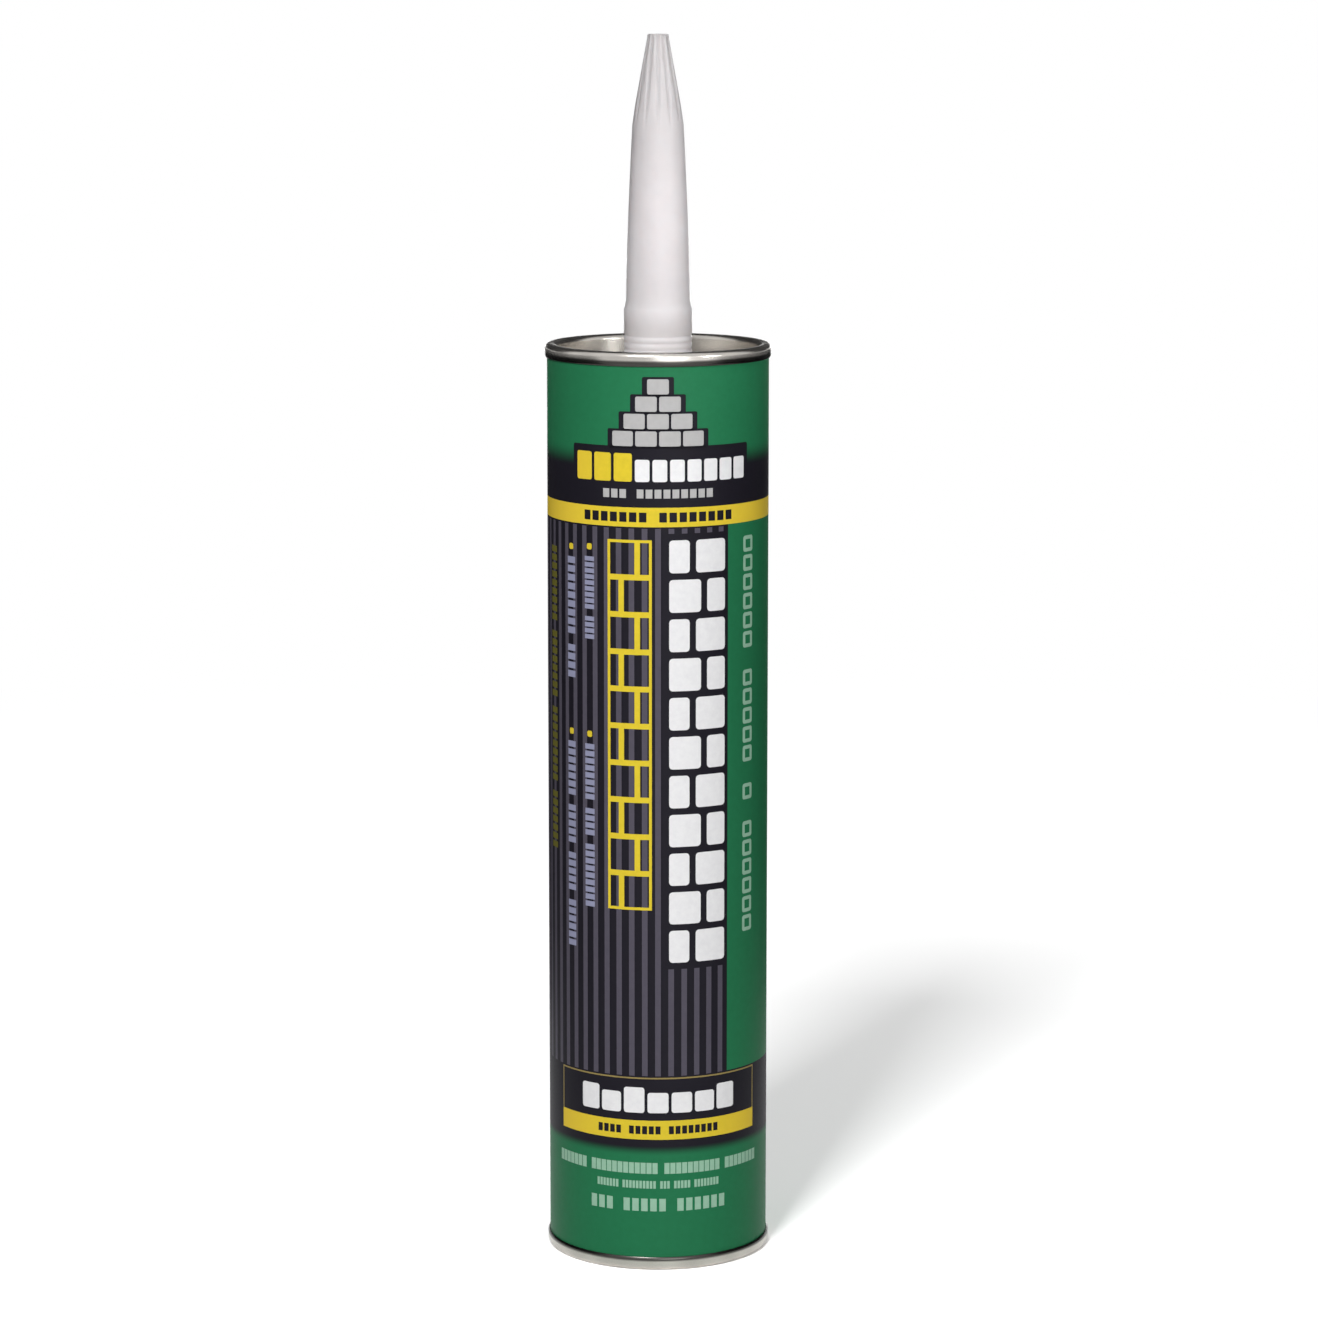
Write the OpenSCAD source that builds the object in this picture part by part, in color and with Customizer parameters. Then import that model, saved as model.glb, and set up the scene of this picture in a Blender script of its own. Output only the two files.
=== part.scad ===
/* [Tube] */
// Outside diameter of the printed tube
tube_od = 50.8; // [50:0.1:54]
// Height from the foot of the bottom ring to the top of the crimped rim
body_h = 212; // [206:1:230]
// Thickness of the spiral-wound board under the label
board_t = 1.6; // [1.3:0.05:1.9]
// Thickness of the printed label ply
label_t = 0.25; // [0.15:0.01:0.4]

/* [Steel ends] */
// Thickness of the steel sheet
sheet_t = 0.3; // [0.22:0.01:0.36]
// Height of the crimped seam on the outside of the tube
seam_h = 3.1; // [2.8:0.1:4]
// Radius of the seam's bends, at the middle of the sheet
seam_bend = 1; // [0.8:0.05:1.1]
// Gap between the seam's outer leg and the label
seam_gap = 0.2; // [0.1:0.05:0.4]
// Depth of the top panel below the rim
recess_h = 4; // [3.5:0.1:6]
// Depth of the countersink below the top panel
sink_h = 0.9; // [0.5:0.1:1.5]
// Width of the countersink
sink_w = 2.4; // [2:0.1:3]
// Height of the raised hub that holds the nozzle's flange
hub_h = 1.3; // [1.1:0.1:2]
// Width of the flat land between the stiffening bead and the countersink
bead_land = 2; // [1.4:0.1:2.6]
// Height of the stiffening bead
bead_h = 0.6; // [0.3:0.1:0.8]
// Width of the stiffening bead's crest
bead_w = 1.6; // [1:0.1:2]
// Height of the bottom ring's wall inside the tube
foot_wall_h = 5.2; // [4.5:0.1:6.5]

/* [Nozzle] */
// Outside diameter of the nozzle's collar
collar_d = 15.6; // [14:0.1:17]
// Height of the collar's shoulder above the rim
collar_h = 8; // [7:0.5:12]
// Outside diameter of the long taper where it leaves the collar
taper_d = 14.6; // [13:0.1:15]
// Outside diameter where the fluted tip begins
shoulder_d = 11.7; // [10:0.1:12.5]
// Height of the fluted tip's beginning above the rim
shoulder_h = 49.3; // [45:0.5:60]
// Length of the fluted tip
tip_l = 20.5; // [18:0.5:24]
// Outside diameter of the closed end
tip_d = 5; // [4.6:0.1:6]
// Wall thickness of the nozzle
nozzle_wall = 1.1; // [0.9:0.05:1.3]
// Thickness of the closed end
tip_cap = 2.2; // [1.5:0.1:3]
// Diameter of the flange under the top panel
flange_d = 20.6; // [18.6:0.1:21]
// Thickness of the flange
flange_t = 1.2; // [0.9:0.05:1.5]
// Number of flutes on the tip
flute_count = 12; // [8:1:12]
// Radius of a flute's cutter
flute_r = 1; // [0.8:0.05:1.2]
// Depth of a flute
flute_depth = 0.24; // [0.15:0.01:0.3]
// Number of shallow rings at the collar's foot
ring_count = 3; // [2:1:4]
// Distance from one shallow ring to the next
ring_pitch = 1.5; // [1.2:0.1:1.8]
// Depth of a shallow ring
ring_depth = 0.18; // [0.1:0.01:0.25]
// Thickness of the foil seal under the flange
foil_t = 0.1; // [0.06:0.01:0.2]

/* [Piston and fill] */
// Height of the piston's skirt above the foot, which leaves room for 296 ml
piston_z = 12.55; // [9:0.05:16]
// Radial clearance of the piston's wiper bands in the tube
wiper_gap = 0.1; // [0.06:0.01:0.2]
// Height of the piston
piston_h = 22.5; // [20:0.5:24]
// Height of each wiper band
wiper_h = 2.2; // [1.5:0.1:3]
// Depth of the waist between the wiper bands
waist_depth = 0.45; // [0.3:0.05:0.6]
// Wall thickness of the piston's skirt
skirt_t = 1.1; // [0.9:0.05:1.4]
// Thickness of the piston's crown
crown_t = 1.4; // [1:0.1:2]
// Number of ribs under the crown
rib_count = 8; // [6:1:12]
// Thickness of a rib
rib_t = 1.2; // [0.9:0.1:1.6]
// Depth of the ribs under the crown
rib_h = 7.6; // [5:0.1:9]
// Outside diameter of the hub under the crown
hub_d = 10; // [8:0.5:14]

/* [Label] */
// Height of the lower green field's top edge above the foot
lower_field_z = 27; // [25:0.5:28]
// Height of the name plate's top edge
plate_z = 45.3; // [44:0.1:46]
// Distance from the top of the rim down to the dark band
head_down = 23.7; // [22:0.1:26]
// Height of the yellow band
band_h = 4.4; // [3:0.1:5]
// Height of the dark band above the yellow band
head_h = 11.1; // [10:0.1:12]
// Angle of the striped panel's right edge from the front
panel_right = 38.5; // [37.5:0.5:42]
// Angle of the striped panel's left edge from the front
panel_left = -100; // [-110:1:-96]
// Distance from one light stripe to the next, along the surface
stripe_pitch = 3.02; // [2.6:0.02:3.4]
// Width of a light stripe
stripe_w = 1.3; // [0.8:0.05:1.5]
// Half of the name plate's width, as an angle
plate_half = 59.5; // [57:0.5:62]
// Width of the fine gold line round the plate
gold_w = 0.35; // [0.25:0.05:0.5]
// Number of courses in the white block column
block_courses = 11; // [8:1:12]
// Gap between the white blocks
block_gap = 1.5; // [1:0.1:2]
// Width of the lines of the yellow wall drawing
line_w = 1.3; // [0.9:0.1:1.6]
// Number of courses in the yellow wall drawing
wall_courses = 10; // [6:1:12]

/* [Hidden] */
$fn = 96;

// Running clearance between parts that are pressed together
seat = 0.03;
// Overshoot of a cutter beyond the face it cuts
over = 0.6;
// Largest angle between two facets of a bend
bend_facet = 20;
// Facets round a ring groove, a flute and the hub
groove_facets = 24;
flute_facets = 32;
hub_facets = 48;

tube_r = tube_od / 2;
board_r = tube_r - label_t;
ply_r = board_r + seat;
bore_r = board_r - board_t;
half_t = sheet_t / 2;

// The sheet's middle line in the seam: inner leg, outer leg and end
inner_leg_r = bore_r - seat - half_t;
outer_leg_r = tube_r + seam_gap + half_t;
tube_end = half_t + seam_bend + seat;
lip_r = tube_r + half_t;
lip_h = 0.5;
lip_bend = 0.3;

// Heights in the top end, on the sheet's middle line
panel_mid = body_h - recess_h - half_t;
sink_mid = panel_mid - sink_h;
hub_mid = panel_mid + hub_h;
panel_bend = 0.5;
collar_r = collar_d / 2;
hole_r = collar_r + seat;
flange_r = flange_d / 2;
hub_wall_r = flange_r + seat + half_t + panel_bend;
hub_slope = 0.7;
bead_slope = 0.6;
sink_slope = 0.6;
sink_inner_r = inner_leg_r - sink_w;
bead_r = sink_inner_r - sink_slope - bead_land - bead_slope - bead_w / 2;
end_underside = sink_mid - half_t;

// Heights on the nozzle
flange_top = hub_mid - half_t;
flange_bottom = flange_top - flange_t;
ring_below_rim = 1.2;
ring_start = body_h - ring_below_rim;
shoulder_z = body_h + shoulder_h;
tip_z = shoulder_z + tip_l;
collar_top = body_h + collar_h;
chamfer_h = 1.6;
taper_r = taper_d / 2;
shoulder_r = shoulder_d / 2;
tip_r = tip_d / 2;
// The tip is round from the shoulder, straight in the middle and blunt at its end
tip_knee_h = 4.7;
tip_knee_drop = 0.65;
tip_neck_h = 1.6;
tip_neck_grow = 0.15;
tip_edge = 0.25;
taper_power = 1.4;
taper_steps = 8;

// Heights of the fill and the piston
fill_gap = 0.3;
fill_r = bore_r - wiper_gap;
fill_top = end_underside - wiper_gap;
fill_foot = piston_z + piston_h + fill_gap;
wiper_r = bore_r - wiper_gap;
waist_r = wiper_r - waist_depth;
skirt_r = waist_r - skirt_t;
wiper_slope = 0.4;
crown_chamfer = 1;
crown_haunch = 1.6;
hub_bore_d = 6.4;
hub_below_ribs = 2;

// Label layout: heights above the foot, and angles from the front towards +X
plate_foot = 31;
plate_strip_top = 35.5;
plate_top = plate_z + gold_w;
dark_top = plate_top + gold_w;
plate_row_half = 43.7;
plate_row_low = 1.7;
plate_row_high = 2.1;
plate_row_foot = plate_strip_top + plate_row_low;
plate_row_top = plate_z - plate_row_high;
head_top = body_h - head_down;
head_z = head_top - head_h;
panel_z = head_z - band_h;
mm_deg = 360 / (PI * tube_od);
stripe_step = stripe_pitch * mm_deg;
stripe_a = stripe_w * mm_deg;
stripe_first = ceil((panel_left + stripe_a) / stripe_step);
stripe_last = floor((panel_right - stripe_a) / stripe_step);

// White column of laid blocks
block_left = 5.7;
block_right = 36.5;
block_foot = 72.6;
block_down = 3;
block_top = panel_z - block_down;
block_joint = 0.4;
block_step = (block_top - block_foot + block_gap) / block_courses;

// Yellow line drawing of a block wall
wall_left = -28;
wall_right = -1.65;
wall_foot = 84.2;
wall_down = 2.3;
wall_top = panel_z - wall_down;
wall_joint = 0.34;
wall_step = (wall_top - wall_foot - line_w) / wall_courses;

// Pale bars beside the panel, and rows of them on the lower field: half width as an angle, foot, height, bars
column_left = 48.5;
column_right = 58;
column_foot = 77.6;
column_down = 2.8;
column_top = panel_z - column_down;
column_gap = 4;
column_bars = 4;
small_rows = [[48.2, 22.9, 2.4, 5], [33.5, 19.4, 1.8, 4], [37.7, 14, 3, 3]];

// Row of blocks across the dark band's top edge
sign_below = 5.3;
sign_above = 1.1;
sign_white_down = 0.3;
sign_foot = head_top - sign_below;
sign_top = head_top + sign_above;
sign_low_top = head_top - sign_white_down;
sign_left = -46.3;
sign_split = -12.5;
sign_right = 50.2;
sign_key = 0.9;
sign_gap = 0.7;
sign_yellow = 3;
sign_white = 6;
plate_white = 7;

// Thin grey row under it
thin_half = 29.5;
thin_up = 2.2;
thin_h = 2;
thin_foot = head_z + thin_up;
thin_top = thin_foot + thin_h;
thin_bars = 3;

// Stepped stack of grey blocks above the row
stack_up = 1.6;
stack_foot = sign_top + stack_up;
stack_courses = 4;
stack_h = 3.4;
stack_gap = 0.5;
stack_w = 5.4;

module ring(r0, r1, z0, z1) {
    rotate_extrude()
        translate([r0, z0])
            square([r1 - r0, z1 - z0]);
}

// Steel sheet, drawn as a path of [r, z, bend radius] at the middle of its thickness
function xy(p) = [p.x, p.y];
function unit(v) = v / norm(v);
function left_of(v) = [-v.y, v.x];
function turned(v, a) = [v.x * cos(a) - v.y * sin(a), v.x * sin(a) + v.y * cos(a)];
function turn(u, w) = atan2(u.x * w.y - u.y * w.x, u * w);
function bend(a, b, c, r, side) =
    let (u = unit(b - a), w = unit(c - b), t = turn(u, w), s = sign(t))
    let (centre = b - u * r * tan(abs(t) / 2) + left_of(u) * s * r, n = ceil(abs(t) / bend_facet))
    [for (i = [0:n]) centre - turned(left_of(u), t * i / n) * s * (r - s * side)];
function sheet_side(path, side) =
    let (n = len(path) - 1)
    [
        xy(path[0]) + left_of(unit(xy(path[1]) - xy(path[0]))) * side,
        for (i = [1:n - 1])
            each bend(xy(path[i - 1]), xy(path[i]), xy(path[i + 1]), path[i].z, side),
        xy(path[n]) + left_of(unit(xy(path[n]) - xy(path[n - 1]))) * side
    ];
function backwards(list) = [for (i = [len(list) - 1:-1:0]) list[i]];

module sheet(path) {
    polygon(concat(sheet_side(path, half_t), backwards(sheet_side(path, -half_t))));
}

// The seam over the tube's end, measured from the outermost height towards the tube
function seam_path(edge, inward) = [
    [inner_leg_r, edge + inward * half_t, seam_bend],
    [outer_leg_r, edge + inward * half_t, seam_bend],
    [outer_leg_r, edge + inward * (seam_h - lip_h), lip_bend],
    [lip_r, edge + inward * seam_h, 0]
];

module tube_section(margin) {
    translate([bore_r, tube_end - margin])
        square([tube_r - bore_r + margin, body_h - 2 * tube_end + 2 * margin]);
}

module tube() {
    color("#b89b74")
        ring(bore_r, board_r, tube_end, body_h - tube_end);
}

module bottom_ring() {
    color("#a8a29c")
        rotate_extrude()
            difference() {
                sheet(concat([[inner_leg_r, foot_wall_h, 0]], seam_path(0, 1)));
                tube_section(seat / 2);
            }
}

module top_end() {
    panel = [
        [hole_r, hub_mid, 0],
        [hub_wall_r, hub_mid, panel_bend],
        [hub_wall_r + hub_slope, panel_mid, panel_bend],
        [bead_r - bead_w / 2 - bead_slope, panel_mid, panel_bend],
        [bead_r - bead_w / 2, panel_mid + bead_h, panel_bend],
        [bead_r + bead_w / 2, panel_mid + bead_h, panel_bend],
        [bead_r + bead_w / 2 + bead_slope, panel_mid, panel_bend],
        [sink_inner_r - sink_slope, panel_mid, panel_bend],
        [sink_inner_r, sink_mid, panel_bend],
        [inner_leg_r, sink_mid, panel_bend]
    ];
    color("#a8a29c")
        rotate_extrude()
            difference() {
                sheet(concat(panel, seam_path(body_h, -1)));
                tube_section(seat / 2);
            }
}

// Outline of the nozzle from the collar's shoulder to the closed end
function taper_points() = [
    for (i = [0:taper_steps])
        let (s = i / taper_steps)
        [taper_r - (taper_r - shoulder_r) * pow(s, taper_power),
            collar_top + chamfer_h + (shoulder_z - collar_top - chamfer_h) * s]
];
function tip_points() = [
    [shoulder_r - tip_knee_drop, shoulder_z + tip_knee_h],
    [tip_r + tip_neck_grow, tip_z - tip_neck_h],
    [tip_r, tip_z - tip_edge]
];

module nozzle_outline() {
    polygon(concat(
        [[0, flange_bottom], [flange_r, flange_bottom], [flange_r, flange_top],
            [collar_r, flange_top], [collar_r, collar_top]],
        taper_points(),
        tip_points(),
        [[tip_r - tip_edge, tip_z], [0, tip_z]]
    ));
}

module nozzle_channel() {
    walls = concat([[collar_r, flange_bottom - over], [collar_r, collar_top]], taper_points(),
        [tip_points()[0], tip_points()[1]]);
    polygon(concat(
        [[0, flange_bottom - over]],
        [for (p = walls) [p.x - nozzle_wall, min(p.y, tip_z - tip_cap)]],
        [[0, tip_z - tip_cap]]
    ));
}

// A shallow round groove between two rings at the collar's foot
module collar_groove(z) {
    groove_r = ring_pitch / 3;
    translate([collar_r - ring_depth + groove_r, z])
        circle(groove_r, $fn = groove_facets);
}

module tip_flutes() {
    top = tip_points()[1];
    knee = tip_points()[0];
    lean = atan2(knee.x - top.x, top.y - knee.y);
    for (k = [0:flute_count - 1])
        rotate([0, 0, k * 360 / flute_count])
            translate([top.x + flute_r - flute_depth, 0, top.y])
                rotate([0, -lean, 0])
                    translate([0, 0, -tip_l])
                        cylinder(h = tip_l + tip_neck_h + over, r = flute_r, $fn = flute_facets);
}

module nozzle() {
    color("#e8e4e4")
        difference() {
            rotate_extrude()
                difference() {
                    nozzle_outline();
                    nozzle_channel();
                    for (k = [0:ring_count - 1])
                        collar_groove(ring_start + k * ring_pitch);
                }
            tip_flutes();
        }
}

module foil_seal() {
    color("#c9cccf")
        translate([0, 0, flange_bottom - foil_t])
            cylinder(h = foil_t, r = flange_r - nozzle_wall);
}

module piston_shell() {
    under = piston_h - crown_t;
    rotate_extrude()
        polygon([
            [skirt_r, 0],
            [wiper_r - wiper_slope, 0],
            [wiper_r, wiper_slope],
            [wiper_r, wiper_h],
            [waist_r, wiper_h + wiper_slope],
            [waist_r, piston_h - crown_chamfer - wiper_h - wiper_slope],
            [wiper_r, piston_h - crown_chamfer - wiper_h],
            [wiper_r, piston_h - crown_chamfer],
            [wiper_r - crown_chamfer, piston_h],
            [0, piston_h],
            [0, under],
            [skirt_r - crown_haunch, under],
            [skirt_r, under - crown_haunch]
        ]);
}

module piston_ribs() {
    under = piston_h - crown_t;
    rib_l = (skirt_r + waist_r) / 2 - hub_bore_d / 2;
    difference() {
        union() {
            for (k = [0:rib_count - 1])
                rotate([0, 0, k * 360 / rib_count])
                    translate([hub_bore_d / 2, -rib_t / 2, under - rib_h])
                        cube([rib_l, rib_t, rib_h + crown_t / 2]);
            translate([0, 0, under - rib_h - hub_below_ribs])
                cylinder(h = rib_h + hub_below_ribs + crown_t / 2, r = hub_d / 2, $fn = hub_facets);
        }
        translate([0, 0, under - rib_h - hub_below_ribs - over])
            cylinder(h = rib_h + hub_below_ribs + over, r = hub_bore_d / 2, $fn = hub_facets);
    }
}

module piston() {
    color("#dfe0dc")
        translate([0, 0, piston_z])
            union() {
                piston_shell();
                piston_ribs();
            }
}

module adhesive() {
    color("#c8b48a")
        translate([0, 0, fill_foot])
            cylinder(h = fill_top - fill_foot, r = fill_r);
}

// A printed field of the label between two angles and two heights
module patch(left, right, foot, top, grow = 0) {
    rotate_extrude(start = left - 90, angle = right - left)
        translate([ply_r - grow, foot])
            square([tube_r - ply_r + 2 * grow, top - foot]);
}

module round_field(foot, top, grow = 0) {
    ring(ply_r - grow, tube_r + grow, foot, top);
}

module stripes(grow = 0) {
    for (k = [stripe_first:stripe_last])
        patch(k * stripe_step - stripe_a / 2, k * stripe_step + stripe_a / 2,
            dark_top, panel_z - gold_w, grow);
}

// The plain ground that the white blocks stand on, clear of stripes
module block_ground(grow = 0) {
    edge = block_gap * mm_deg;
    patch(block_left - edge, block_right + edge, block_foot - block_gap, block_top + block_gap, grow);
}

// Two blocks in each course, with the joint stepping from side to side
module block_column(grow = 0) {
    wide = block_right - block_left;
    for (k = [0:block_courses - 1]) {
        foot = block_foot + k * block_step;
        joint = block_left + wide * (k % 2 == 0 ? block_joint : 1 - block_joint);
        half_gap = block_gap * mm_deg / 2;
        patch(block_left, joint - half_gap, foot, foot + block_step - block_gap, grow);
        patch(joint + half_gap, block_right, foot, foot + block_step - block_gap, grow);
    }
}

// The lines of a laid wall: one field with two windows in each course
module wall_drawing(grow = 0) {
    line_a = line_w * mm_deg;
    wide = wall_right - wall_left;
    difference() {
        patch(wall_left, wall_right, wall_foot, wall_top, grow);
        for (k = [0:wall_courses - 1]) {
            foot = wall_foot + k * wall_step + line_w;
            top = wall_foot + (k + 1) * wall_step;
            joint = wall_left + wide * (k % 2 == 0 ? wall_joint : 1 - wall_joint);
            patch(wall_left + line_a, joint - line_a / 2, foot, top, grow + over);
            patch(joint + line_a / 2, wall_right - line_a, foot, top, grow + over);
        }
    }
}

// A row of blocks, each as wide as its share of the row
module block_row(left, right, foot, top, count, grow = 0) {
    pitch = (right - left) / count;
    gap = sign_gap * mm_deg;
    for (k = [0:count - 1])
        patch(left + k * pitch + gap / 2, left + (k + 1) * pitch - gap / 2, foot, top, grow);
}

// The name plate's yellow strip and the gold line round the rest of it
module plate_frame(grow = 0) {
    gold_a = gold_w * mm_deg;
    difference() {
        patch(-plate_half, plate_half, plate_foot, plate_top, grow);
        patch(gold_a - plate_half, plate_half - gold_a, plate_strip_top, plate_z, grow + over);
    }
}

module yellow_print(grow = 0) {
    round_field(panel_z, head_z, grow);
    wall_drawing(grow);
    block_row(sign_left, sign_split, sign_foot, sign_top, sign_yellow, grow);
    plate_frame(grow);
}

module white_print(grow = 0) {
    block_column(grow);
    block_row(sign_split, sign_right, sign_foot, sign_low_top, sign_white, grow);
    block_row(-plate_row_half, plate_row_half, plate_row_foot, plate_row_top, plate_white, grow);
}

module pale_print(grow = 0) {
    bar = (column_top - column_foot + column_gap) / column_bars;
    for (k = [0:column_bars - 1])
        patch(column_left, column_right, column_foot + k * bar,
            column_foot + (k + 1) * bar - column_gap, grow);
    for (row = small_rows)
        block_row(-row[0], row[0], row[1], row[1] + row[2], row[3], grow);
}

module grey_print(grow = 0) {
    gap = stack_gap * mm_deg;
    for (k = [0:stack_courses - 1]) {
        half = (stack_courses - k) * stack_w * mm_deg / 2;
        foot = stack_foot + k * (stack_h + stack_gap);
        for (j = [0:stack_courses - k - 1])
            patch(-half + j * stack_w * mm_deg + gap / 2, -half + (j + 1) * stack_w * mm_deg - gap / 2,
                foot, foot + stack_h, grow);
    }
    block_row(-thin_half, thin_half, thin_foot, thin_top, thin_bars, grow);
}

// Dark lines behind the row and the stack
module dark_keys(grow = 0) {
    key_a = sign_key * mm_deg;
    patch(sign_left - key_a, sign_right + key_a, head_top - sign_key, stack_foot, grow);
    for (k = [0:stack_courses - 1]) {
        half = (stack_courses - k) * stack_w * mm_deg / 2;
        foot = stack_foot + k * (stack_h + stack_gap);
        patch(-half - key_a / 2, half + key_a / 2, foot - stack_gap, foot + stack_h + stack_gap, grow);
    }
}

module dark_print(grow = 0) {
    round_field(lower_field_z, dark_top, grow);
    round_field(head_z, head_top, grow);
    patch(panel_left, panel_right, plate_z, panel_z, grow);
    dark_keys(grow);
}

module label_green() {
    color("#2d7a52")
        difference() {
            round_field(tube_end, body_h - tube_end);
            dark_print(over);
            round_field(panel_z, head_z, over);
            pale_print(over);
        }
}

module label_dark() {
    color("#1b1820")
        difference() {
            dark_print();
            difference() {
                stripes(over);
                block_ground(2 * over);
            }
            yellow_print(over);
            white_print(over);
            grey_print(over);
        }
}

module label_stripes() {
    color("#5a555f")
        difference() {
            stripes();
            yellow_print(over);
            block_ground(over);
        }
}

module label_yellow() {
    color("#e0c52a")
        yellow_print();
}

module label_white() {
    color("#f0eef2")
        white_print();
}

module label_pale() {
    color("#9dc7ab")
        pale_print();
}

module label_grey() {
    color("#b9b9b4")
        grey_print();
}

tube();
bottom_ring();
top_end();
nozzle();
foil_seal();
piston();
adhesive();
label_green();
label_dark();
label_stripes();
label_yellow();
label_white();
label_pale();
label_grey();
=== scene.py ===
"""Adhesive cartridge: a printed board tube with crimped steel ends, a nozzle, a piston and its fill."""

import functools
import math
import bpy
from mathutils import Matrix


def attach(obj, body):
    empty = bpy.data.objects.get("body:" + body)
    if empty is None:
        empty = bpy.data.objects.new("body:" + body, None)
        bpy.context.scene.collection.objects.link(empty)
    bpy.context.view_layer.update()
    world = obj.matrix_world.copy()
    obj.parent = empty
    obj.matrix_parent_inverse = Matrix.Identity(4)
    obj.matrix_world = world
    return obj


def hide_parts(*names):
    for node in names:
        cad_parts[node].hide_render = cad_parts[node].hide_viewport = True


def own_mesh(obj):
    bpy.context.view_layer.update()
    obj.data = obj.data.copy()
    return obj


bl_info = {
    "name": "Adhesive cartridge",
    "version": (1, 0, 0),
    "blender": (4, 5, 0),
    "location": "View3D > Sidebar > Cartridge",
    "description": "Builds the visible pieces of an adhesive cartridge round its CAD frame",
    "category": "Object",
}

import bmesh
import bpy
from bpy.props import FloatProperty, FloatVectorProperty, IntProperty, PointerProperty
from mathutils import Matrix, Vector

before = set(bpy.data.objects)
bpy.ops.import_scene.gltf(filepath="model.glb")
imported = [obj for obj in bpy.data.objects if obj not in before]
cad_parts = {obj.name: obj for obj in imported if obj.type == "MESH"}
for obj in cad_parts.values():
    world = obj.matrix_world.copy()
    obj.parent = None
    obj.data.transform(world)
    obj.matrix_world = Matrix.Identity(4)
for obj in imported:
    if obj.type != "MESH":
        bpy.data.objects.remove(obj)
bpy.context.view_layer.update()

MM = 0.001
FULL_TURN = 2 * math.pi
BODY = "cartridge"
PLUNGER = "plunger"

# Facets round the tube; the print is cut at the same angles, so it lies flat on them
ROUND_STEPS = 240
NOZZLE_STEPS = 288
CORNER_SEGMENTS = 3
WELD = 1e-7
SHARP_ANGLE = math.radians(38)
BEND_SEGMENT = math.radians(12)
EDGE_ANGLE = math.radians(60)


def linear(hex_code):
    """An sRGB hex value as linear red, green and blue."""
    knee, slope, offset, power = 0.04045, 12.92, 0.055, 2.4
    shares = [int(hex_code[start:start + 2], 16) / 255 for start in (0, 2, 4)]
    return tuple(
        share / slope if share <= knee else ((share + offset) / (1 + offset)) ** power
        for share in shares
    )


def length(name, description, millimetres):
    """A size that the user can change, given in millimetres."""
    return FloatProperty(name=name, description=description, default=millimetres * MM, min=0, unit="LENGTH")


def angle(name, description, degrees):
    """An angle round the tube, from the front of the label towards +X."""
    return FloatProperty(name=name, description=description, default=math.radians(degrees), unit="ROTATION")


def colour(name, description, hex_code):
    """A colour that the user can change, given as sRGB hex."""
    return FloatVectorProperty(
        name=name, description=description, default=linear(hex_code), size=3, min=0, max=1, subtype="COLOR"
    )


class CartridgeSizes(bpy.types.PropertyGroup):
    """Sizes of the tube, the steel ends, the nozzle and the piston."""

    tube_r: length("Tube radius", "Outside of the printed label", 25.4)
    sleeve_r: length("Sleeve radius", "Inside of the label ply", 25.18)
    board_r: length("Board radius", "Outside of the wound board", 25.15)
    bore_r: length("Bore radius", "Inside of the wound board", 23.55)
    tube_end: length("Tube end", "Height of the tube's lower end above the foot", 1.18)
    body_h: length("Body height", "Top of the crimped rim above the foot", 212)
    sheet_t: length("Sheet thickness", "Thickness of the steel", 0.3)
    collar_r: length("Collar radius", "Nozzle's straight collar", 7.8)
    nozzle_wall: length("Nozzle wall", "Wall thickness of the nozzle", 1.1)
    flange_foot: length("Flange foot", "Underside of the nozzle's flange above the foot", 207.8)
    flange_r: length("Flange radius", "Nozzle's flange under the top end", 10.3)
    tip_z: length("Tip height", "Closed end of the nozzle above the foot", 281.8)
    flute_depth: length("Flute depth", "Depth of a flute on the nozzle's tip", 0.24)
    flute_count: IntProperty(name="Flutes", description="Number of flutes round the tip", default=12, min=4)
    piston_z: length("Piston height", "Skirt of the piston above the foot", 12.55)
    rib_count: IntProperty(name="Piston ribs", description="Ribs under the piston's crown", default=8, min=3)
    fill_foot: length("Fill foot", "Underside of the adhesive above the foot", 35.35)
    fill_top: length("Fill top", "Top of the adhesive above the foot", 206.7)
    fill_r: length("Fill radius", "Radius of the adhesive", 23.45)


class LabelLayout(bpy.types.PropertyGroup):
    """Heights and angles of the fields on the printed label."""

    lower_field_z: length("Lower field top", "Top edge of the lower green field", 27)
    dark_top: length("Lower dark band top", "Top edge of the dark band behind the name plate", 46)
    panel_z: length("Panel top", "Top edge of the striped panel", 172.8)
    head_z: length("Yellow band top", "Top edge of the yellow band", 177.2)
    head_top: length("Dark band top", "Middle of the fade above the upper dark band", 188.3)
    fade: length("Fade height", "Height over which the upper dark band fades into green", 5)
    panel_left: angle("Panel left", "Left edge of the striped panel", -100)
    panel_right: angle("Panel right", "Right edge of the striped panel", 38.5)
    stripe_step: angle("Stripe step", "From one light stripe to the next", 6.81)
    stripe_width: angle("Stripe width", "Width of a light stripe", 2.93)
    ink_t: length("Ink layer", "Height of one layer of ink, drawn thicker than real so that it shows", 0.012)


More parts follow.
